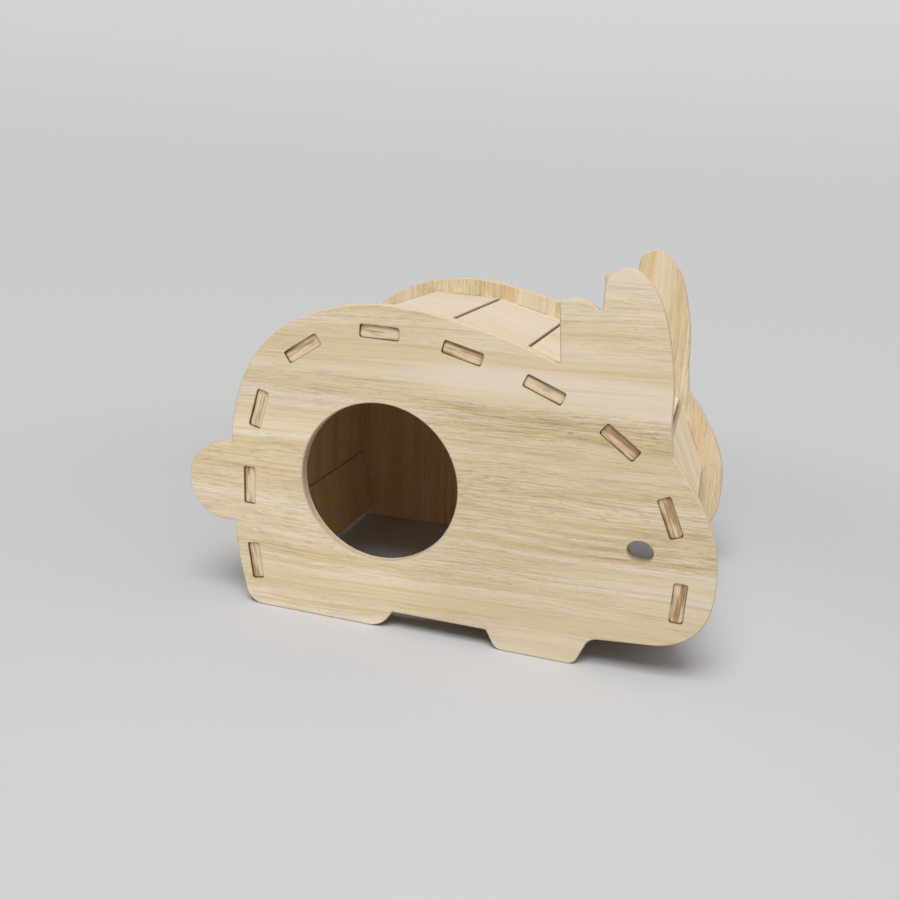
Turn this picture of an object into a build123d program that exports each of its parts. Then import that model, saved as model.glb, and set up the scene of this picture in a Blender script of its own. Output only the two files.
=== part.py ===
from build123d import *
import os
from math import cos, radians, sin, tan

# A hamster house of flat plywood: two side panels cut to the outline of a sitting rabbit,
# and ten slats that bridge them edge to edge, from the rump over the back to the nose.
# Each slat has a tab at both ends, and each tab goes through a slot in a side panel.
# Everything is press-fitted: there is no floor, no glue block and no fastener.
#
# Frame: +X from tail to nose, +Z up, and the side with the doorway looks towards -Y.
# The origin is on the ground, under the middle of the house.
# The outline is drawn in (x, height), with x = 0 on the doorway's centre line.

os.makedirs("parts", exist_ok=True)

# ---- plywood and fit -------------------------------------------------------------------
sheet = 4.8               # real thickness of the nominal 5 mm plywood
tab_clearance = 0.1       # between a tab and each wall of its slot
slot_corner = 0.9         # round corner that the cutter leaves in a slot
tab_bevel = 0.8           # on the long edges of a tab, which pass the slot's round corners
sanded_bevel = 0.4        # on the edges of the side panels and of the slats

# ---- slats -----------------------------------------------------------------------------
inside_depth = 114.4      # between the two side panels
slat_width = 32.0
slat_gap = 0.2            # between the inner corners of two neighbouring slats
tab_width = 15.4
tab_recess = 0.8          # how far a tab's end stays below the panel's outer face
first_slat_x = -52.3      # centre of the lowest slat of the rump
first_slat_height = 19.3

# Each slat and the direction it runs in, in degrees above +X.
slat_angles = {
    "rump_slat_lower": 99.0,
    "rump_slat_middle": 90.5,
    "rump_slat_upper": 75.0,
    "hip_slat": 34.0,
    "roof_slat_rear": -1.0,
    "roof_slat_middle": -14.0,
    "roof_slat_front": -21.5,
    "neck_slat": -36.0,
    "brow_slat": -66.0,
    "nose_slat": -90.5,
}

# ---- openings --------------------------------------------------------------------------
door_radius = 32.0
door_height = 60.2        # centre of the doorway above the ground
eye_length = 9.4
eye_height = 7.8
eye_tilt = -15.0
eye_above_nose = 17.4     # from the middle of the nose slat upwards
eye_inset = 15.6          # and inwards

# ---- rim of plywood outside the slats ---------------------------------------------------
# Each rim is measured from the middle of a slat's thickness out to the panel's edge.
rump_rim = 7.4
back_rim = 10.3
neck_rim = 8.6
brow_rim = 11.0
face_rim = 12.2
chin_inset = 7.5          # where the round of the nose ends, inside the nose slat

# ---- tail ------------------------------------------------------------------------------
tail_radius = 16.2
tail_out = 11.2           # centre of the round tail, outside the middle rump slat

# ---- feet ------------------------------------------------------------------------------
heel_x = -55.6
heel_round = 8.0
rear_foot_end = 3.9
rear_foot_round = 10.0
front_foot_start = 50.9
front_foot_end = 81.9
front_foot_round = 4.2
recess_height = 7.5       # of the step between the feet
recess_slope = 61.0       # of its two sides, in degrees
recess_corner = 0.8
chin_height = 11.8
chin_slope = 68.0
chin_round = 5.0

# ---- ears ------------------------------------------------------------------------------
ear_height = 60.0         # of the tall ear, above the middle of the neck slat
ear_width = 28.4          # from its straight rear edge to the neck
ear_back = 10.9           # the rear edge stands this far behind the same point
small_ear_height = 34.0   # above the middle of the front roof slat, square to it
small_ear_round = 1.6
notch_round = 0.8         # where the tail and the ears meet the body


class Slat:
    """Middle of a slat's thickness at mid-width, with the way it runs and its outer side."""

    def __init__(self, name, angle):
        self.name = name
        self.angle = angle
        self.along = Vector(cos(radians(angle)), sin(radians(angle)))
        self.out = Vector(-sin(radians(angle)), cos(radians(angle)))
        self.centre = Vector(first_slat_x, first_slat_height)

    def inner_corner(self, side):
        """From the centre to the inner corner, behind (-1) or ahead (+1)."""
        return self.along * (side * slat_width / 2) - self.out * (sheet / 2)

    def beside(self, ahead, outward):
        """Point beside the slat: a share of its width ahead, and millimetres outwards."""
        return self.centre + self.along * (ahead * slat_width) + self.out * outward


# The slats stand in a chain: each one starts a small gap after the inner corner of the last.
slats = [Slat(name, angle) for name, angle in slat_angles.items()]
for last, slat in zip(slats, slats[1:]):
    gap = (last.along + slat.along).normalized() * slat_gap
    slat.centre = last.centre + last.inner_corner(1) + gap - slat.inner_corner(-1)

rump_low, rump_mid, rump_high, hip, roof_rear, roof_mid, roof_front, neck, brow, nose = slats


def in_ear(across, up):
    """Point of the tall ear, in shares of its width and height."""
    return neck.centre + Vector(across * ear_width - ear_back, up * ear_height)


# ---- outline of a side panel -----------------------------------------------------------
heel = Vector(heel_x, 0)
nose_tip = nose.beside(-0.28, face_rim)
chin_start = nose.beside(0.58, -chin_inset)
step = recess_height / tan(radians(recess_slope))
chin_root = Vector(front_foot_end + chin_height / tan(radians(chin_slope)), chin_height)

with BuildSketch() as body:
    with BuildLine():
        # From the heel over the rump, the back and the neck to the tip of the nose.
        Spline(
            heel,
            rump_low.beside(0, rump_rim),
            rump_mid.beside(0, rump_rim),
            rump_high.beside(-0.06, back_rim),
            hip.beside(-0.3, back_rim),
            hip.beside(0.2, back_rim),
            roof_rear.beside(0.12, back_rim),
            roof_mid.beside(0.06, back_rim),
            roof_front.beside(0.04, back_rim),
            neck.beside(0, neck_rim),
            neck.beside(0.47, neck_rim),
            brow.beside(-0.13, brow_rim),
            brow.beside(0.31, face_rim),
            nose_tip,
            tangents=[(-0.14, 1), (0, -1)],
            tangent_scalars=(1, 1),
        )
        # Round the nose to the chin.
        Spline(
            nose_tip,
            nose.beside(0.16, 0.88 * face_rim),
            nose.beside(0.38, 0.54 * face_rim),
            chin_start,
            tangents=[(0, -1), chin_root - chin_start],
            tangent_scalars=(1, 1),
        )
        # Chin, front foot, step between the feet and rear foot.
        Polyline(
            chin_start,
            chin_root,
            (front_foot_end, 0),
            (front_foot_start, 0),
            (front_foot_start - step, recess_height),
            (rear_foot_end + step, recess_height),
            (rear_foot_end, 0),
            heel,
        )
    make_face()

with BuildSketch() as outline:
    add(body.sketch)
    # Tail: a disc on the rump.
    with Locations(rump_mid.beside(0, tail_out)):
        Circle(tail_radius)
    # Small ear in front of the tall one.
    with BuildLine():
        small_root = roof_front.beside(0.04, back_rim)
        small_corner = roof_front.beside(-0.28, 0.88 * small_ear_height)
        small_top = roof_front.beside(-0.1, small_ear_height)
        small_end = roof_front.beside(0.2, 0.95 * small_ear_height)
        Line(small_root, small_corner)
        ThreePointArc(small_corner, small_top, small_end)
        Polyline(small_end, neck.centre, small_root)
    make_face()
    # Tall ear, which runs down into the neck.
    with BuildLine():
        ear_root = in_ear(0, 0.42)
        ear_shoulder = in_ear(0, 0.9)
        ear_foot = in_ear(0.99, 0.1)
        ear_end = in_ear(1.11, -0.29)
        Line(ear_root, ear_shoulder)
        Spline(
            ear_shoulder,
            in_ear(0.22, 1),
            in_ear(0.54, 0.925),
            in_ear(0.82, 0.65),
            in_ear(0.96, 0.3),
            ear_foot,
            tangents=[(0, 1), ear_end - ear_foot],
            tangent_scalars=(1, 1),
        )
        Polyline(ear_foot, ear_end, neck.centre, ear_root)
    make_face()
    # Round the corners: feet, chin, then the notches beside the tail and the ears.
    corners = [
        (heel, heel_round),
        (Vector(rear_foot_end, 0), rear_foot_round),
        (Vector(rear_foot_end + step, recess_height), recess_corner),
        (Vector(front_foot_start - step, recess_height), recess_corner),
        (Vector(front_foot_start, 0), front_foot_round),
        (Vector(front_foot_end, 0), front_foot_round),
        (chin_root, chin_round),
        (rump_mid.beside(-0.5, rump_rim), notch_round),
        (rump_mid.beside(0.5, rump_rim), notch_round),
        (small_root, notch_round),
        (small_corner, small_ear_round),
        (Vector(ear_root.X, small_end.Y), notch_round),
        (ear_end, notch_round),
    ]
    for corner, radius in corners:
        fillet(outline.vertices().sort_by_distance(corner)[0], radius)

# Half-way between the tail's and the nose's outermost points.
middle_x = outline.sketch.bounding_box().center().X
overall_depth = inside_depth + 2 * sheet

with BuildSketch() as slots:
    for slat in slats:
        with Locations(Location(slat.centre, (0, 0, slat.angle))):
            RectangleRounded(
                tab_width + 2 * tab_clearance,
                sheet + 2 * tab_clearance,
                slot_corner,
            )

# ---- side panels -----------------------------------------------------------------------
# Each panel is cut from a sketch on the face that looks towards -Y.
front_face = Plane(origin=(-middle_x, -overall_depth / 2, 0), x_dir=(1, 0, 0), z_dir=(0, -1, 0))
back_face = Plane(origin=(-middle_x, inside_depth / 2, 0), x_dir=(1, 0, 0), z_dir=(0, -1, 0))

with BuildSketch() as door:
    with Locations((0, door_height)):
        Circle(door_radius)

with BuildSketch() as eye:
    with Locations(Location(nose.centre + Vector(-eye_inset, eye_above_nose), (0, 0, eye_tilt))):
        Ellipse(eye_length / 2, eye_height / 2)

# The edges of the outline and of the door and eye holes are broken on both faces.
# The slots are cut last, and stay sharp.
with BuildPart() as front_panel:
    with BuildSketch(front_face):
        add(outline.sketch)
        add(door.sketch, mode=Mode.SUBTRACT)
        add(eye.sketch, mode=Mode.SUBTRACT)
    extrude(amount=-sheet)
    chamfer(front_panel.edges().filter_by(Axis.Y, reverse=True), sanded_bevel)
    with BuildSketch(front_face):
        add(slots.sketch)
    extrude(amount=-sheet, mode=Mode.SUBTRACT)

with BuildPart() as back_panel:
    with BuildSketch(back_face):
        add(outline.sketch)
        add(eye.sketch, mode=Mode.SUBTRACT)
    extrude(amount=-sheet)
    chamfer(back_panel.edges().filter_by(Axis.Y, reverse=True), sanded_bevel)
    with BuildSketch(back_face):
        add(slots.sketch)
    extrude(amount=-sheet, mode=Mode.SUBTRACT)

for panel, label in ((front_panel, "front_panel"), (back_panel, "back_panel")):
    panel.part.label = label
    export_step(panel.part, f"parts/{label}.step")

# ---- slats -----------------------------------------------------------------------------
for slat in slats:
    slat_plane = Plane(
        origin=(slat.centre.X - middle_x, 0, slat.centre.Y),
        x_dir=(slat.along.X, 0, slat.along.Y),
        z_dir=(slat.out.X, 0, slat.out.Y),
    )
    # Both tabs and the wood between them, as one bar.
    with BuildPart() as tab_bar:
        with BuildSketch(slat_plane):
            Rectangle(tab_width, overall_depth - 2 * tab_recess)
        extrude(amount=sheet / 2, both=True)
        chamfer(tab_bar.edges().filter_by(Axis.Y), tab_bevel)
    # The board between the panels, with its long edges broken.
    with BuildPart() as board:
        with BuildSketch(slat_plane):
            Rectangle(slat_width, inside_depth)
        extrude(amount=sheet / 2, both=True)
        chamfer(board.edges().filter_by(Axis.Y), sanded_bevel)
        add(tab_bar.part)
    board.part.label = slat.name
    export_step(board.part, f"parts/{slat.name}.step")
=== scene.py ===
from math import cos, pi, radians, sin

import bpy
import numpy as np
from mathutils import Matrix, Vector


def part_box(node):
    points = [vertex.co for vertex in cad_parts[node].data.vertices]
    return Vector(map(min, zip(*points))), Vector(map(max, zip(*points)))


# A hamster house of pale plywood: two side panels in the outline of a sitting rabbit, and
# ten slats between them. The solids carry the shape, and this script gives them their wood.
# Units are metres. +X runs from tail to nose, +Z is up, and the doorway looks towards -Y.

MM = 0.001
FAR_AWAY = 1.0              # farther than any point of the house

# ---- sizes of the solids ---------------------------------------------------------------
SHEET = 4.8 * MM            # thickness of the plywood
BEVEL = 0.4 * MM            # broken edge of panels and slats
PANEL_INSIDE = 57.2 * MM    # from the middle of the house to a side panel's inner face
TAB_CLEARANCE = 0.1 * MM    # between a tab and each side of its slot
TAB_RECESS = 0.8 * MM       # from a tab's end to the panel's outer face
TAB_END = PANEL_INSIDE + SHEET - TAB_RECESS  # from the middle of the house to a tab's end
TAB_HALF = 7.7 * MM         # half of a tab's width
SLAT_HALF = 16.0 * MM       # half of a slat's width
SLOT_HALF = (TAB_HALF + TAB_CLEARANCE, SHEET / 2 + TAB_CLEARANCE)  # half its length and width
SLOT_CORNER = 0.9 * MM
EYE_FROM_NOSE = (-15.6 * MM, 17.4 * MM)  # from the nose slat's centre, along X and Z
EYE_REACH = 5.4 * MM        # radius that takes in the eye hole's wall

# Direction of each slat, in degrees above +X.
SLAT_ANGLES = {
    "rump_slat_lower": 99.0,
    "rump_slat_middle": 90.5,
    "rump_slat_upper": 75.0,
    "hip_slat": 34.0,
    "roof_slat_rear": -1.0,
    "roof_slat_middle": -14.0,
    "roof_slat_front": -21.5,
    "neck_slat": -36.0,
    "brow_slat": -66.0,
    "nose_slat": -90.5,
}
ROOF_SLATS = ("hip_slat", "roof_slat_rear", "roof_slat_middle", "roof_slat_front")
BROWN_TABS = ("neck_slat", "brow_slat", "nose_slat")  # their ends show more of the dark layers


def srgb(red, green, blue):
    """Linear colour from 0-255 values, by the curve that the sRGB standard gives."""
    values = np.array((red, green, blue)) / 255.0
    low = values / 12.92
    high = ((values + 0.055) / 1.055) ** 2.4
    return (*np.where(values <= 0.04045, low, high).tolist(), 1.0)


# ---- colours ---------------------------------------------------------------------------
VENEER_PALE = srgb(236, 221, 198)
VENEER_STRAW = srgb(227, 208, 172)
VENEER_DARK = srgb(172, 149, 110)
VENEER_OCHRE = srgb(214, 183, 126)
# painted shade, multiplied into the front panel's face at its nose half and towards the back
PAINTED_SHADE_TINT = srgb(243, 243, 242)
# slat veneers: partly board tone, partly painted: cream darker as painted shade on the roof's tops,
# honey paler as painted light on the other slats
CREAM_PALE = srgb(211, 197, 178)
CREAM_STRAW = srgb(206, 190, 165)
AMBER_PALE = srgb(224, 210, 184)
AMBER_STRAW = srgb(217, 196, 160)
HONEY_PALE = srgb(231, 217, 191)
HONEY_STRAW = srgb(222, 200, 163)
# painted shade inside the house, multiplied into the inner faces of slats and panels
INSIDE_SHADE_TAN = srgb(255, 230, 194)
CUT_PALE = srgb(216, 199, 172)
RIM_TAN = srgb(188, 172, 146)
CORE_TAN = srgb(202, 182, 152)
GLUE_BROWN = srgb(132, 98, 66)
TAB_PALE = srgb(228, 206, 174)
TAB_BROWN = srgb(168, 132, 92)
# painted shade in the slots, the gaps between slats, the eye hole and round the tab ends
GAP_SHADE_BROWN = srgb(92, 64, 34)
FLOOR_GREY = srgb(191, 191, 192)
FAR_GREY = srgb(204, 204, 203)
BACKDROP_LOW = srgb(202, 203, 202)
WALL_GREY = srgb(213, 214, 213)
LIGHT_WHITE = (1.0, 1.0, 1.0, 1.0)

# ---- veneer ----------------------------------------------------------------------------
FRONT_FINISH = {"Pale": VENEER_PALE, "Straw": VENEER_STRAW, "Figure": 0.15, "Rich": 0.0}
BACK_FINISH = {"Pale": AMBER_PALE, "Straw": AMBER_STRAW, "Figure": 0.5, "Rich": 0.35}
# the roof's finish carries painted shade, and the others' finish painted light, beside the boards'
# own tone
ROOF_TONE_AND_PAINTED_SHADE = {"Pale": CREAM_PALE, "Straw": CREAM_STRAW, "Figure": 0.15, "Rich": 0.2}
END_TONE_AND_PAINTED_LIGHT = {"Pale": HONEY_PALE, "Straw": HONEY_STRAW, "Figure": 0.15, "Rich": 0.2}

GRAIN_SLOPE = 1.5           # degrees by which the fibres lean off the sheet's edge
FIBRE_WANDER = 6 * MM       # how far the fibres wander from straight, from side to side
PANEL_SEED = 0.0            # a seed moves the pattern, so that no two slats are alike
FIRST_SLAT_SEED = 0.5
SEED_SHIFT = (1.0, 0.37, 0.11)  # metres along each axis for a seed of 1

# Patterns: length along the fibres, width across them, detail and roughness of the noise.
VENEER_PATTERNS = {
    "bands": (300 * MM, 11 * MM, 2.0, 0.5),
    "crowd": (150 * MM, 24 * MM, 1.0, 0.5),
    "growth": (70 * MM, 2.0 * MM, 3.0, 0.6),
    "streaks": (18 * MM, 0.8 * MM, 2.0, 0.6),
    "fibres": (6 * MM, 0.35 * MM, 2.0, 0.5),
    "pores": (4 * MM, 0.3 * MM, 1.0, 0.5),
    "ochre": (110 * MM, 1.5 * MM, 2.0, 0.6),
}
# Patterns that richness lifts: by how much at most, the noise at which each begins and is
# full, and its least and greatest share.
RICH_PATTERNS = {
    "crowd": (0.1, 0.36, 0.66, 0.2, 1.0),
    "bands": (0.2, 0.48, 0.70, 0.0, 1.0),
    "ochre": (0.14, 0.56, 0.74, 0.0, 0.5),
}
# Patterns that darken: the noise at which each begins and is full, and its greatest share.
DARK_PATTERNS = {
    "growth": (0.45, 0.68, 0.35),
    "streaks": (0.48, 0.66, 0.50),
    "fibres": (0.48, 0.68, 0.40),
    "pores": (0.62, 0.72, 0.80),
}
PORE_DENT = (0.66, 0.76)    # noise at which a pore begins to dent the face, and is deepest

# Bands of figure from the doorway to the nose: height, half width and richness.
FIGURE_BANDS = (
    (91.5 * MM, 6.5 * MM, 1.0),
    (70.0 * MM, 18.0 * MM, 0.65),
    (48.5 * MM, 6.0 * MM, 0.9),
    (24.0 * MM, 22.0 * MM, 0.5),
    (128.0 * MM, 18.0 * MM, 0.3),
)
BAND_SOFT_IN = 3 * MM       # a band fades from this far inside its border
BAND_SOFT_OUT = 2 * MM      # to this far outside
REAR_FIGURE = 0.45          # richness behind the doorway's middle
NOSE_HALF = (-25 * MM, 15 * MM)  # X over which the front panel's rear half becomes its nose half
PAINTED_SHADE_HEIGHTS = (75 * MM, 95 * MM)  # heights over which painted shade darkens the front panel towards the back

# ---- cuts, tabs and painted shade in the gaps ------------------------------------------
RIM_SHARE = 0.7             # share of RIM_TAN in the colour of a broken edge
LAYER_WAVER = 0.5 * MM      # how far the layers waver, from side to side
GLUE_LEVEL = 0.46           # a line of glue, where 0 is the sheet's middle and 1 its face
GLUE_SOFT = 0.04            # half of the change from core to outer layer, on the same scale
GLUE_LINE = (0.02, 0.10)    # from the line's middle to where it begins to fade, and ends
GLUE_DENT = 0.4
FLECK_SHARE = 0.3
TAB_OUTER_SHADE = 0.16      # painted shade: how much browner a tab's end is on its outer side, where its slot's wall shades it
TAB_MORE_BROWN = 0.14       # and all over on the tabs that show more of the dark layers
TAB_BROWN_RANGE = (0.93, 1.35)
TAB_BORDER = 0.5 * MM       # width of the line of painted shade round a tab's end, where the slot's walls shade it
# shares of painted shade: on a tab's sides in its slot, on a slat's long edges in the gaps, on the
# eye hole's wall
TAB_SIDE_SHADE = 0.85
SLAT_EDGE_SHADE = 0.4
EYE_WALL_SHADE = 0.4
SLOT_WALL = (0.2 * MM, 0.3 * MM)   # distance from a slot over which painted shade on its wall ends
SLOT_WALL_SHADE = 0.9
SLOT_HALO = (0.05 * MM, 0.35 * MM)  # and over which the thin halo of painted shade on the face ends
SLOT_HALO_SHADE = 0.35
RING_SOFT = 0.5 * MM        # soft border of the painted inside shade within the ring of slats
EYE_SOFT = 0.3 * MM
FACE_SLACK = 0.05 * MM      # slack for telling a face by its place
TAB_SLACK = 0.1 * MM        # and a tab by where the panel begins

# ---- surface of the wood ---------------------------------------------------------------
CUT_ROUGHNESS = 0.85
FACE_ROUGHNESS = 0.62
WOOD_SPECULAR = 0.15
RELIEF_STRENGTH = 0.35
RELIEF_DEPTH = 0.12 * MM

# ---- studio ----------------------------------------------------------------------------
SKY_LOW = 0.38              # strength of the world's light at the horizon
SKY_HIGH = 0.44             # and overhead
SKY_TOP = 0.9               # upward share of a direction from which SKY_HIGH holds
SKY_SIDE = 0.70             # share by which it is stronger on the nose's side
BACKDROP_TOP = 0.2          # upward share of a direction at which the backdrop is all wall

FLOOR_RADIUS = 4.0
FLOOR_RINGS = 24
FLOOR_SECTORS = 96
FLOOR_FADE = (0.15, 0.40)   # distances over which the paper fades into the backdrop
FLOOR_FAR = (0.5, 1.4)      # and over which the backdrop's grey changes
PAPER_ROUGHNESS = 0.9
PAPER_SPECULAR = 0.1

LAMP_PLACE = (0.04, -0.72, 1.35)
LAMP_AIM = (0.0, 0.0, 0.05)
LAMP_SIZE = 0.8
LAMP_POWER = 20.8           # watts

CAMERA_PLACE = (0.09433, -0.3775, 0.17385)
CAMERA_TURN = 15.86         # degrees to the left of +Y
CAMERA_DIP = 16.296         # degrees below level
CAMERA_ROLL = 3.371         # degrees
CAMERA_LENS = 36.68         # millimetres
CAMERA_SENSOR = 36.0        # its width, also in millimetres

# ---- small helpers for node trees ------------------------------------------------------
# Sockets of a Mix node: its share, its two numbers and its two colours, then its outputs.
MIX_SHARE = 0
MIX_NUMBER_A = 2
MIX_NUMBER_B = 3
MIX_COLOUR_A = 6
MIX_COLOUR_B = 7
MIX_NUMBER_OUT = 0
MIX_COLOUR_OUT = 2


class Tree:
    """Short names for adding nodes to a tree and joining them."""

    def __init__(self, tree):
        self.nodes = tree.nodes
        self.links = tree.links

    def add(self, kind, **settings):
        """Adds a shader node with these settings."""
        node = self.nodes.new("ShaderNode" + kind)
        for name, value in settings.items():
            setattr(node, name, value)
        return node

    def put(self, socket, value):
        """Sets a socket to a value, or joins it to another socket."""
        if isinstance(value, bpy.types.NodeSocket):
            self.links.new(value, socket)
        else:
            socket.default_value = value

    def fill(self, node, *values):
        """Puts values into a node's first sockets, in their order."""
        for socket, value in zip(node.inputs, values):
            self.put(socket, value)
        return node

    def math(self, operation, first, second=0.0):
        """Arithmetic on one or two numbers."""
        return self.fill(self.add("Math", operation=operation), first, second).outputs[0]

    def vector(self, operation, first, second=(0.0, 0.0, 0.0), output="Vector"):
        """Arithmetic on one or two vectors. Its result can be a number, in output Value."""
        node = self.fill(self.add("VectorMath", operation=operation), first, second)
        return node.outputs[output]

    def split(self, vector):
        """X, Y and Z of a vector."""
        return self.fill(self.add("SeparateXYZ"), vector).outputs

    def step(self, value, low, high, out_low=0.0, out_high=1.0):
        """Smooth change from out_low to out_high while value goes from low to high."""
        node = self.add("MapRange", interpolation_type="SMOOTHSTEP")
        return self.fill(node, value, low, high, out_low, out_high).outputs[0]

    def mix(self, share, first, second, blend="MIX"):
        """Colour mix, share 0 for the first and 1 for the second."""
        node = self.add("Mix", data_type="RGBA", blend_type=blend)
        self.put(node.inputs[MIX_SHARE], share)
        self.put(node.inputs[MIX_COLOUR_A], first)
        self.put(node.inputs[MIX_COLOUR_B], second)
        return node.outputs[MIX_COLOUR_OUT]

    def mix_numbers(self, share, first, second):
        """Mix of two numbers, share 0 for the first and 1 for the second."""
        node = self.add("Mix", data_type="FLOAT")
        self.put(node.inputs[MIX_SHARE], share)
        self.put(node.inputs[MIX_NUMBER_A], first)
        self.put(node.inputs[MIX_NUMBER_B], second)
        return node.outputs[MIX_NUMBER_OUT]

    def own_frame(self, vector, place, turn):
        """Vector as read in a frame that has this place and turn."""
        return self.fill(self.add("Mapping", vector_type="TEXTURE"), vector, place, turn).outputs[0]

    def stretch(self, vector, size):
        """Vector divided by the size of a pattern along each axis."""
        node = self.add("Mapping", vector_type="POINT")
        self.put(node.inputs["Vector"], vector)
        node.inputs["Scale"].default_value = [1.0 / length for length in size]
        return node.outputs[0]

    def noise(self, vector, size, detail=2.0, rough=0.5):
        """Smooth noise from 0 to 1 with lumps of about the given size."""
        node = self.add("TexNoise", noise_dimensions="3D")
        self.put(node.inputs["Vector"], self.stretch(vector, size))
        node.inputs["Scale"].default_value = 1.0
        node.inputs["Detail"].default_value = detail
        node.inputs["Roughness"].default_value = rough
        return node.outputs["Fac"]

    def sway(self, vector, size, detail, width):
        """Smooth noise that swings about zero, over a width from side to side."""
        centred = self.math("SUBTRACT", self.noise(vector, size, detail), 0.5)
        return self.math("MULTIPLY", centred, width)

    def group(self, group, vector, values):
        """Node group with its vector and its own values."""
        node = self.add("Group", node_tree=group)
        self.put(node.inputs["Vector"], vector)
        for label, value in values.items():
            self.put(node.inputs[label], value)
        return node

    def rays(self, *kinds):
        """1 for rays of these kinds, and 0 for the others."""
        path = self.add("LightPath")
        found = 0.0
        for kind in kinds:
            found = self.math("MAXIMUM", found, path.outputs[kind])
        return found

    def mix_shaders(self, share, first, second):
        """Shader mix, share 0 for the first and 1 for the second."""
        return self.fill(self.add("MixShader"), share, first, second).outputs[0]


def new_group(name, inputs, outputs):
    """Empty shader node group with named sockets: the group, its tree, what it gets and gives."""
    group = bpy.data.node_groups.new(name, "ShaderNodeTree")
    for label, kind, value in inputs:
        socket = group.interface.new_socket(label, in_out="INPUT", socket_type="NodeSocket" + kind)
        if value is not None:
            socket.default_value = value
    for label, kind in outputs:
        group.interface.new_socket(label, in_out="OUTPUT", socket_type="NodeSocket" + kind)
    given = group.nodes.new("NodeGroupInput").outputs
    result = group.nodes.new("NodeGroupOutput").inputs
    return group, Tree(group), given, result


# ---- patterns that several sheets share ------------------------------------------------
def make_veneer_group():
    """Face of a sheet: fibres along X, straw bands, ochre and dark streaks, and short pores.

    Each pattern is smooth noise stretched along the fibres. Richness lifts some of them, so
    that more of each shows, and adds to the figure, which is the strength of the dark ones.
    """
    group, tree, given, result = new_group(
        "veneer face",
        [
            ("Vector", "Vector", None),
            ("Pale", "Color", VENEER_PALE),
            ("Straw", "Color", VENEER_STRAW),
            ("Figure", "Float", 1.0),
            ("Rich", "Float", 0.0),
        ],
        [("Color", "Color"), ("Height", "Float")],
    )
    # The fibres wander a little, so every pattern reads a slightly bent vector.
    offset = tree.add("CombineXYZ")
    wander = tree.sway(given["Vector"], (70 * MM, 70 * MM, 30 * MM), 1.0, FIBRE_WANDER)
    tree.put(offset.inputs["Z"], wander)
    along = tree.vector("ADD", given["Vector"], offset.outputs[0])
    patterns = {
        name: tree.noise(along, (length, length, width), detail, rough)
        for name, (length, width, detail, rough) in VENEER_PATTERNS.items()
    }
    lifted = {}
    for name, (lift, low, high, least, most) in RICH_PATTERNS.items():
        level = tree.math("ADD", patterns[name], tree.math("MULTIPLY", given["Rich"], lift))
        lifted[name] = tree.step(level, low, high, least, most)

    colour = tree.mix(lifted["bands"], given["Pale"], given["Straw"])
    colour = tree.mix(lifted["ochre"], colour, VENEER_OCHRE)
    # Dark streaks crowd together in some places, and nearly vanish in others.
    figure = tree.math("ADD", given["Figure"], given["Rich"])
    crowded = tree.math("MULTIPLY", lifted["crowd"], figure)
    for name, (low, high, most) in DARK_PATTERNS.items():
        share = tree.math("MULTIPLY", tree.step(patterns[name], low, high, 0.0, most), crowded)
        colour = tree.mix(share, colour, VENEER_DARK)
    tree.put(result["Color"], colour)

    # The relief is the mean of streaks and fibres, less the pores' dents.
    relief = tree.math("ADD", patterns["streaks"], patterns["fibres"])
    relief = tree.math("DIVIDE", relief, 2.0)
    dents = tree.math("MULTIPLY", tree.step(patterns["pores"], *PORE_DENT), crowded)
    tree.put(result["Height"], tree.math("SUBTRACT", relief, dents))
    return group


def make_plies_group():
    """Cut edge of a sheet: three pale layers across Z, with thin broken lines between them."""
    group, tree, given, result = new_group(
        "sheet edge",
        [("Vector", "Vector", None)],
        [("Color", "Color"), ("Height", "Float")],
    )
    vector = given["Vector"]
    waver = tree.sway(vector, (9 * MM, 9 * MM, 9 * MM), 2.0, LAYER_WAVER)
    depth = tree.math("ADD", tree.split(vector)["Z"], waver)
    # The level is 0 in the middle of the sheet and 1 at its two faces.
    level = tree.math("DIVIDE", tree.math("ABSOLUTE", depth), SHEET / 2)
    outer = tree.step(level, GLUE_LEVEL - GLUE_SOFT, GLUE_LEVEL + GLUE_SOFT)
    colour = tree.mix(outer, CORE_TAN, CUT_PALE)
    from_line = tree.math("ABSOLUTE", tree.math("SUBTRACT", level, GLUE_LEVEL))
    broken = tree.noise(vector, (5 * MM, 5 * MM, 3 * MM), detail=1.0)
    line = tree.math(
        "MULTIPLY",
        tree.step(from_line, *GLUE_LINE, 1.0, 0.0),
        tree.step(broken, 0.45, 0.65, 0.1, 0.7),
    )
    colour = tree.mix(line, colour, GLUE_BROWN)
    fleck = tree.noise(vector, (1.4 * MM, 1.4 * MM, 0.5 * MM), detail=3.0)
    flecks = tree.step(fleck, 0.5, 0.8, 0.0, FLECK_SHARE)
    tree.put(result["Color"], tree.mix(flecks, colour, GLUE_BROWN))
    dent = tree.math("MULTIPLY", line, GLUE_DENT)
    tree.put(result["Height"], tree.math("SUBTRACT", fleck, dent))
    return group


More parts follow.
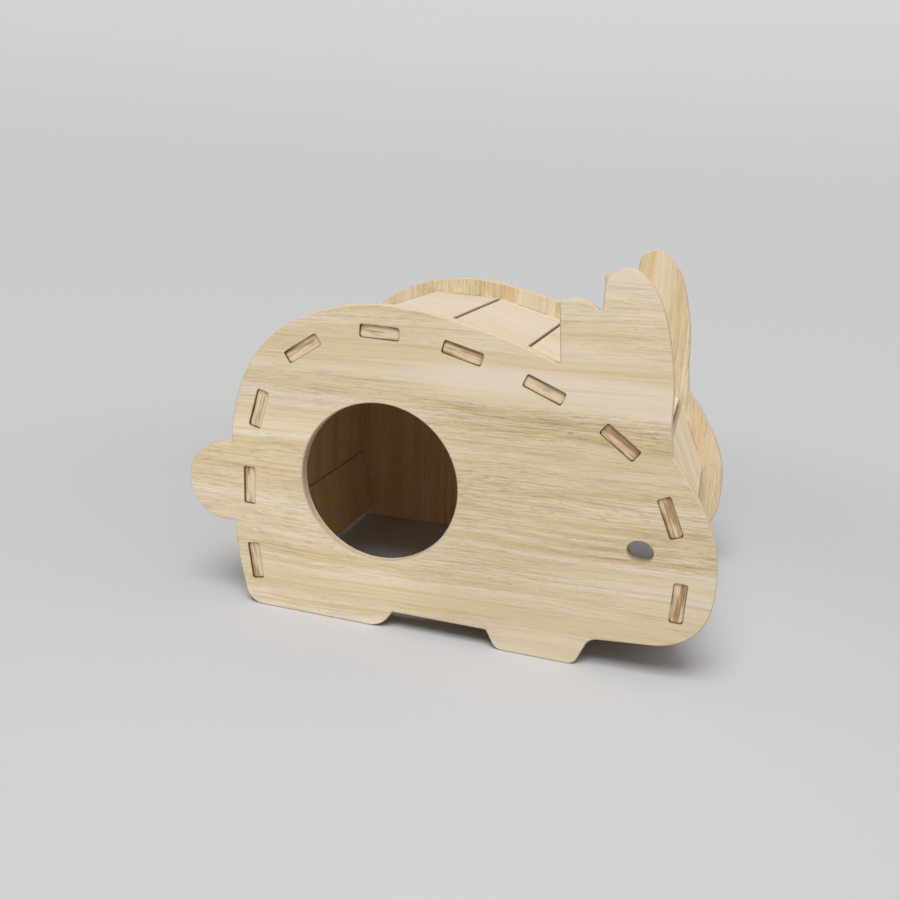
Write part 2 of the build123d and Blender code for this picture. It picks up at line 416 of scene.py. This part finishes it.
def make_tab_end_group():
    """End of a tab: honey layers with brown streaks along X, browner with painted shade on its outer
    side, and a line of painted shade at the border where the slot's walls shade it.
    """
    group, tree, given, result = new_group(
        "tab end",
        [("Vector", "Vector", None), ("Seed", "Float", 0.0), ("Brown", "Float", 0.0)],
        [("Color", "Color")],
    )
    axes = tree.split(given["Vector"])
    shifted = tree.vector("ADD", given["Vector"], given["Seed"])
    layers = tree.noise(shifted, (16 * MM, 16 * MM, 0.6 * MM), rough=0.6)
    stain = tree.noise(shifted, (9 * MM, 9 * MM, 2.4 * MM), detail=1.0)
    level = tree.math("ADD", layers, stain)
    # Painted shade: browner towards the outer side, where the slot's wall shades the recessed end.
    level = tree.math("ADD", level, tree.math("MULTIPLY", axes["Z"], TAB_OUTER_SHADE / SHEET))
    level = tree.math("ADD", level, tree.math("MULTIPLY", given["Brown"], TAB_MORE_BROWN))
    colour = tree.mix(tree.step(level, *TAB_BROWN_RANGE), TAB_PALE, TAB_BROWN)
    # Painted shade: a dark line round the border, where the slot's walls shade the recessed end.
    side = tree.step(tree.math("ABSOLUTE", axes["Z"]), SHEET / 2 - TAB_BORDER, SHEET / 2)
    head = tree.step(tree.math("ABSOLUTE", axes["X"]), TAB_HALF - TAB_BORDER, TAB_HALF)
    uneven = tree.step(stain, 0.35, 0.65, 0.2, 0.85)
    gap_shade = tree.math("MULTIPLY", tree.math("MAXIMUM", side, head), uneven)
    tree.put(result["Color"], tree.mix(gap_shade, colour, GAP_SHADE_BROWN))
    return group


def make_slot_group():
    """Distance outside a slot: how far |x| and |z| pass its core, less its corner's radius."""
    group, tree, given, result = new_group(
        "distance from a slot",
        [("Vector", "Vector", None), ("Place", "Vector", None), ("Turn", "Vector", None)],
        [("Distance", "Float")],
    )
    own = tree.own_frame(given["Vector"], given["Place"], given["Turn"])
    # The core is the slot less its corner's radius, and has no end along Y.
    core = (SLOT_HALF[0] - SLOT_CORNER, FAR_AWAY, SLOT_HALF[1] - SLOT_CORNER)
    past = tree.vector("SUBTRACT", tree.vector("ABSOLUTE", own), core)
    past = tree.vector("MAXIMUM", past, (0.0, 0.0, 0.0))
    length = tree.vector("LENGTH", past, output="Value")
    tree.put(result["Distance"], tree.math("SUBTRACT", length, SLOT_CORNER))
    return group


# ---- one sheet of plywood --------------------------------------------------------------
class Sheet:
    """Material of one sheet: veneer on its two faces, layers on every cut through it."""

    def __init__(self, name, groups, place, turn, finish, seed):
        self.material = bpy.data.materials.new(name + " plywood")
        self.material.use_nodes = True
        self.groups = groups
        tree = Tree(self.material.node_tree)
        self.tree = tree
        self.vector = tree.add("TexCoord").outputs["Object"]
        self.house = tree.split(self.vector)
        # The sheet's own frame has X along its grain and Z across its thickness.
        self.local = tree.own_frame(self.vector, place, turn)
        self.axes = tree.split(self.local)
        # The veneer's pattern stands on edge in the sheet, so that its rows cross the grain.
        stand = tree.add("Mapping", vector_type="POINT")
        shift = [seed * share for share in SEED_SHIFT]
        tree.fill(stand, self.local, shift, (radians(90), radians(GRAIN_SLOPE), 0.0))
        self.veneer = tree.group(groups["veneer"], stand.outputs[0], finish)
        self.layers = tree.group(groups["plies"], self.local, {})
        # How far a point lies from the sheet's middle tells cut, broken edge and face apart.
        depth = tree.math("ABSOLUTE", self.axes["Z"])
        half = SHEET / 2
        self.on_rim = tree.step(depth, half - 1.1 * BEVEL, half - 0.9 * BEVEL, 0.0, RIM_SHARE)
        self.on_face = tree.step(depth, half - 0.2 * BEVEL, half - 0.05 * BEVEL)
        self.on_cut = tree.math("SUBTRACT", 1.0, self.on_face)

    def wood(self, face_colour):
        """Colour of the bare sheet, from the colour of its faces."""
        colour = self.tree.mix(self.on_rim, self.layers.outputs["Color"], RIM_TAN)
        return self.tree.mix(self.on_face, colour, face_colour)

    def finished(self, colour):
        """The material, once its colour, roughness and fine relief are joined to its shader."""
        tree = self.tree
        shader = tree.nodes["Principled BSDF"]
        tree.put(shader.inputs["Base Color"], colour)
        roughness = tree.step(self.on_face, 0.0, 1.0, CUT_ROUGHNESS, FACE_ROUGHNESS)
        tree.put(shader.inputs["Roughness"], roughness)
        shader.inputs["Specular IOR Level"].default_value = WOOD_SPECULAR
        flecked = self.layers.outputs["Height"]
        height = tree.mix_numbers(self.on_face, flecked, self.veneer.outputs["Height"])
        bump = tree.add("Bump")
        bump.inputs["Strength"].default_value = RELIEF_STRENGTH
        bump.inputs["Distance"].default_value = RELIEF_DEPTH
        tree.put(bump.inputs["Height"], height)
        tree.put(shader.inputs["Normal"], bump.outputs[0])
        return self.material


# ---- side panels -----------------------------------------------------------------------
def slot_shade(sheet, slots):
    """Share of painted shade round the slots: strong on their walls, a thin halo on the faces."""
    tree = sheet.tree
    nearest = FAR_AWAY
    for place, angle in slots:
        values = {"Place": place, "Turn": (0.0, radians(-angle), 0.0)}
        slot = tree.group(sheet.groups["slot"], sheet.vector, values)
        nearest = tree.math("MINIMUM", nearest, slot.outputs["Distance"])
    # Painted shade on the slots' walls, and in a thin halo on the face.
    wall = tree.step(nearest, *SLOT_WALL, SLOT_WALL_SHADE, 0.0)
    halo = tree.step(nearest, *SLOT_HALO, SLOT_HALO_SHADE, 0.0)
    return tree.mix_numbers(sheet.on_face, wall, halo)


def inside_ring(sheet, slots):
    """Share of the panel enclosed by the ring of slats, which takes painted inside shade: behind the
    middle of every slat.

    A slat's outward direction times a point, less the same for the slat's centre, is how far
    the point lies outside it. The greatest of the ten is below zero inside the ring.
    """
    tree = sheet.tree
    farthest = -FAR_AWAY
    for place, angle in slots:
        outward = (-sin(radians(angle)), 0.0, cos(radians(angle)))
        level = sum(a * b for a, b in zip(outward, place))
        reach = tree.vector("DOT_PRODUCT", sheet.vector, outward, output="Value")
        farthest = tree.math("MAXIMUM", farthest, tree.math("SUBTRACT", reach, level))
    return tree.step(farthest, -RING_SOFT, 0.0, 1.0, 0.0)


def near_eye(sheet, eye):
    """Share of the ground that takes in the eye hole's wall, by its distance from the eye."""
    tree = sheet.tree
    flat = tree.vector("MULTIPLY", sheet.vector, (1.0, 0.0, 1.0))
    distance = tree.vector("DISTANCE", flat, eye, output="Value")
    return tree.step(distance, EYE_REACH - EYE_SOFT, EYE_REACH, 1.0, 0.0)


def panel_painted_shade(sheet, colour, slots, eye):
    """Panel's colour with painted shade: browner on its inner face inside the ring of slats, and
    dark on the walls of its slots and eye hole.
    """
    tree = sheet.tree
    from_middle = tree.math("ABSOLUTE", sheet.house["Y"])
    inner = tree.math("LESS_THAN", from_middle, PANEL_INSIDE + FACE_SLACK)
    # Painted shade on the inner face, inside the ring of slats.
    painted_inside_shade = tree.math("MULTIPLY", inner, inside_ring(sheet, slots))
    colour = tree.mix(painted_inside_shade, colour, INSIDE_SHADE_TAN, blend="MULTIPLY")
    # Painted shade on the eye hole's wall and round the slots.
    eye_wall = tree.math("MULTIPLY", near_eye(sheet, eye), sheet.on_cut)
    eye_wall = tree.math("MULTIPLY", eye_wall, EYE_WALL_SHADE)
    gap_shade = tree.math("MAXIMUM", slot_shade(sheet, slots), eye_wall)
    return tree.mix(gap_shade, colour, GAP_SHADE_BROWN)


def nose_share(sheet):
    """Share of the front panel's nose half, whose soft border starts at the doorway's middle."""
    return sheet.tree.step(sheet.house["X"], *NOSE_HALF)


def figure_bands(sheet):
    """Richness of the front panel's figure: even at the rear, and level soft bands in front."""
    tree = sheet.tree
    bands = 0.0
    for height, half_width, richness in FIGURE_BANDS:
        distance = tree.math("ABSOLUTE", tree.math("SUBTRACT", sheet.house["Z"], height))
        inner = half_width - BAND_SOFT_IN
        outer = half_width + BAND_SOFT_OUT
        bands = tree.math("MAXIMUM", bands, tree.step(distance, inner, outer, richness, 0.0))
    return tree.mix_numbers(nose_share(sheet), REAR_FIGURE, bands)


def front_panel_wood(groups, place, slots, eye):
    """Front panel: grain from tail to nose in bands, and painted shade that darkens it a little at
    the nose and back.
    """
    turn = (radians(90), 0.0, 0.0)
    sheet = Sheet("front_panel", groups, place, turn, FRONT_FINISH, PANEL_SEED)
    tree = sheet.tree
    tree.put(sheet.veneer.inputs["Rich"], figure_bands(sheet))
    # Painted shade: the face darkens a little over the nose half and towards the back.
    painted_shade = tree.math("MAXIMUM", nose_share(sheet), tree.step(sheet.house["Z"], *PAINTED_SHADE_HEIGHTS))
    face_colour = tree.mix(painted_shade, sheet.veneer.outputs["Color"], PAINTED_SHADE_TINT, blend="MULTIPLY")
    return sheet.finished(panel_painted_shade(sheet, sheet.wood(face_colour), slots, eye))


def back_panel_wood(groups, place, slots, eye):
    """Back panel: amber veneer whose grain runs upwards."""
    turn = (radians(90), radians(90), 0.0)
    sheet = Sheet("back_panel", groups, place, turn, BACK_FINISH, PANEL_SEED)
    colour = sheet.wood(sheet.veneer.outputs["Color"])
    return sheet.finished(panel_painted_shade(sheet, colour, slots, eye))


# ---- slats -----------------------------------------------------------------------------
def slat_gap_shade(sheet):
    """Share of painted shade on a slat: on the sides of its tabs inside the slots, and on its outer
    long edges in the gaps between slats.
    """
    tree = sheet.tree
    across = tree.math("ABSOLUTE", sheet.axes["X"])
    along = tree.math("ABSOLUTE", sheet.axes["Y"])
    tab = tree.step(along, PANEL_INSIDE, PANEL_INSIDE + TAB_SLACK, 0.0, TAB_SIDE_SHADE)
    edge = tree.step(across, SLAT_HALF - 1.2 * BEVEL, SLAT_HALF - BEVEL, 0.0, SLAT_EDGE_SHADE)
    edge = tree.math("MULTIPLY", edge, sheet.on_cut)
    outer = tree.math("GREATER_THAN", sheet.axes["Z"], 0.0)
    return tree.math("MAXIMUM", tab, tree.math("MULTIPLY", edge, outer))


def slat_wood(name, groups, place, angle, seed):
    """Slat: cream veneer on the roof and honey elsewhere, partly board tone and partly painted
    light; painted shade on its inner side, at its tab sides and along its long edges.
    """
    finish = ROOF_TONE_AND_PAINTED_SHADE if name in ROOF_SLATS else END_TONE_AND_PAINTED_LIGHT
    sheet = Sheet(name, groups, place, (0.0, radians(-angle), 0.0), finish, seed)
    tree = sheet.tree
    # The inner side gets painted shade, browner as it is inside the house.
    inside = tree.math("LESS_THAN", sheet.axes["Z"], 0.0)
    colour = tree.mix(inside, sheet.wood(sheet.veneer.outputs["Color"]), INSIDE_SHADE_TAN, blend="MULTIPLY")
    # Painted shade on the tab sides and in the gaps along the long edges.
    colour = tree.mix(slat_gap_shade(sheet), colour, GAP_SHADE_BROWN)
    brown = 1.0 if name in BROWN_TABS else 0.0
    end = tree.group(groups["tab end"], sheet.local, {"Seed": seed, "Brown": brown})
    from_middle = tree.math("ABSOLUTE", sheet.axes["Y"])
    on_end = tree.step(from_middle, TAB_END - 2 * FACE_SLACK, TAB_END - FACE_SLACK)
    return sheet.finished(tree.mix(on_end, colour, end.outputs["Color"]))


def dress(node, material):
    """Gives a CAD node its material."""
    for slot in node.material_slots:
        slot.link = "OBJECT"
        slot.material = material


# ---- studio ----------------------------------------------------------------------------
def floor_mesh():
    """Flat disc: a ring's radius is the full one times the square of the ring's share."""
    rings = np.linspace(0.0, 1.0, FLOOR_RINGS + 1)[1:] ** 2 * FLOOR_RADIUS
    turns = np.linspace(0.0, 2 * pi, FLOOR_SECTORS + 1)[:-1]
    radius, angle = np.meshgrid(rings, turns, indexing="ij")
    points = np.stack((radius * np.cos(angle), radius * np.sin(angle), 0 * radius), axis=-1)
    points = np.concatenate(([[0.0, 0.0, 0.0]], points.reshape(-1, 3)))
    # Number 0 is the middle, and the others go round ring by ring.
    here = 1 + np.arange(radius.size).reshape(radius.shape)
    after = np.roll(here, -1, axis=1)
    middle = np.stack((0 * here[0], here[0], after[0]), axis=-1)
    around = np.stack((here[:-1], here[1:], after[1:], after[:-1]), axis=-1)
    mesh = bpy.data.meshes.new("floor")
    mesh.from_pydata(points.tolist(), [], middle.tolist() + around.reshape(-1, 4).tolist())
    return mesh


def floor_paper():
    """Matt grey paper, which away from the house fades into the even backdrop."""
    material = bpy.data.materials.new("floor paper")
    material.use_nodes = True
    tree = Tree(material.node_tree)
    shader = tree.nodes["Principled BSDF"]
    shader.inputs["Base Color"].default_value = FLOOR_GREY
    shader.inputs["Roughness"].default_value = PAPER_ROUGHNESS
    shader.inputs["Specular IOR Level"].default_value = PAPER_SPECULAR
    radius = tree.vector("LENGTH", tree.add("TexCoord").outputs["Object"], output="Value")
    glow = tree.add("Emission")
    far = tree.step(radius, *FLOOR_FAR)
    tree.put(glow.inputs["Color"], tree.mix(far, FAR_GREY, BACKDROP_LOW))
    seen = tree.rays("Is Camera Ray", "Is Glossy Ray")
    fade = tree.math("MULTIPLY", tree.step(radius, *FLOOR_FADE), seen)
    surface = tree.mix_shaders(fade, shader.outputs[0], glow.outputs[0])
    tree.put(tree.nodes["Material Output"].inputs["Surface"], surface)
    return material


def make_floor():
    """Round pale floor under the house."""
    mesh = floor_mesh()
    mesh.materials.append(floor_paper())
    floor = bpy.data.objects.new("floor", mesh)
    bpy.context.scene.collection.objects.link(floor)


def make_world():
    """Soft white light, stronger from above and from the nose's side, and a pale backdrop.

    Rays of the camera, of reflections and of glass meet the backdrop, and others the light.
    """
    world = bpy.data.worlds.new("studio")
    bpy.context.scene.world = world
    world.use_nodes = True
    tree = Tree(world.node_tree)
    direction = tree.split(tree.add("TexCoord").outputs["Generated"])
    light = tree.nodes["Background"]
    light.inputs["Color"].default_value = LIGHT_WHITE
    side = tree.math("ADD", 1.0, tree.math("MULTIPLY", direction["X"], SKY_SIDE))
    height = tree.step(direction["Z"], 0.0, SKY_TOP, SKY_LOW, SKY_HIGH)
    tree.put(light.inputs["Strength"], tree.math("MULTIPLY", height, side))
    backdrop = tree.add("Background")
    wall = tree.step(direction["Z"], 0.0, BACKDROP_TOP)
    tree.put(backdrop.inputs["Color"], tree.mix(wall, BACKDROP_LOW, WALL_GREY))
    seen = tree.rays("Is Camera Ray", "Is Glossy Ray", "Is Transmission Ray")
    surface = tree.mix_shaders(seen, light.outputs[0], backdrop.outputs[0])
    tree.put(tree.nodes["World Output"].inputs["Surface"], surface)


def make_lamp():
    """Square soft box high above the doorway's side, aimed at the house."""
    lamp = bpy.data.lights.new("soft box above", "AREA")
    lamp.shape = "SQUARE"
    lamp.size = LAMP_SIZE
    lamp.energy = LAMP_POWER
    holder = bpy.data.objects.new("soft box above", lamp)
    bpy.context.scene.collection.objects.link(holder)
    holder.location = LAMP_PLACE
    direction = Vector(LAMP_AIM) - Vector(LAMP_PLACE)
    holder.rotation_euler = direction.to_track_quat("-Z", "Y").to_euler()


def make_camera():
    """Camera a little above the house, turned slightly from its front."""
    data = bpy.data.cameras.new("camera")
    data.lens = CAMERA_LENS
    data.sensor_width = CAMERA_SENSOR
    camera = bpy.data.objects.new("camera", data)
    bpy.context.scene.collection.objects.link(camera)
    turn = Matrix.Rotation(radians(CAMERA_TURN), 4, "Z")
    tilt = Matrix.Rotation(radians(90 - CAMERA_DIP), 4, "X")
    roll = Matrix.Rotation(radians(CAMERA_ROLL), 4, "Z")
    camera.matrix_world = Matrix.Translation(CAMERA_PLACE) @ turn @ tilt @ roll
    bpy.context.scene.camera = camera


# ---- putting it together ---------------------------------------------------------------
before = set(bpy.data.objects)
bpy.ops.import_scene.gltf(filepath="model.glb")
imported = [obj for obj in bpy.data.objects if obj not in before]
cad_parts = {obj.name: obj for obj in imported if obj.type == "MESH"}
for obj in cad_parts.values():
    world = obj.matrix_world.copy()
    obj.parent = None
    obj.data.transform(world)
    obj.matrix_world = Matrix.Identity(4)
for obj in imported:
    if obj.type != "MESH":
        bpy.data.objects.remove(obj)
bpy.context.scene.view_settings.view_transform = "Standard"
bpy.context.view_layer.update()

groups = {
    "veneer": make_veneer_group(),
    "plies": make_plies_group(),
    "tab end": make_tab_end_group(),
    "slot": make_slot_group(),
}
centres = {}
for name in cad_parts:
    low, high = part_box(name)
    centres[name] = tuple((a + b) / 2 for a, b in zip(low, high))
slots = [(centres[name], angle) for name, angle in SLAT_ANGLES.items()]
nose = centres["nose_slat"]
eye = (nose[0] + EYE_FROM_NOSE[0], 0.0, nose[2] + EYE_FROM_NOSE[1])

for name, panel_wood in (("front_panel", front_panel_wood), ("back_panel", back_panel_wood)):
    dress(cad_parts[name], panel_wood(groups, centres[name], slots, eye))

for index, (name, angle) in enumerate(SLAT_ANGLES.items()):
    wood = slat_wood(name, groups, centres[name], angle, FIRST_SLAT_SEED + index)
    dress(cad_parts[name], wood)

make_floor()
make_world()
make_lamp()
make_camera()
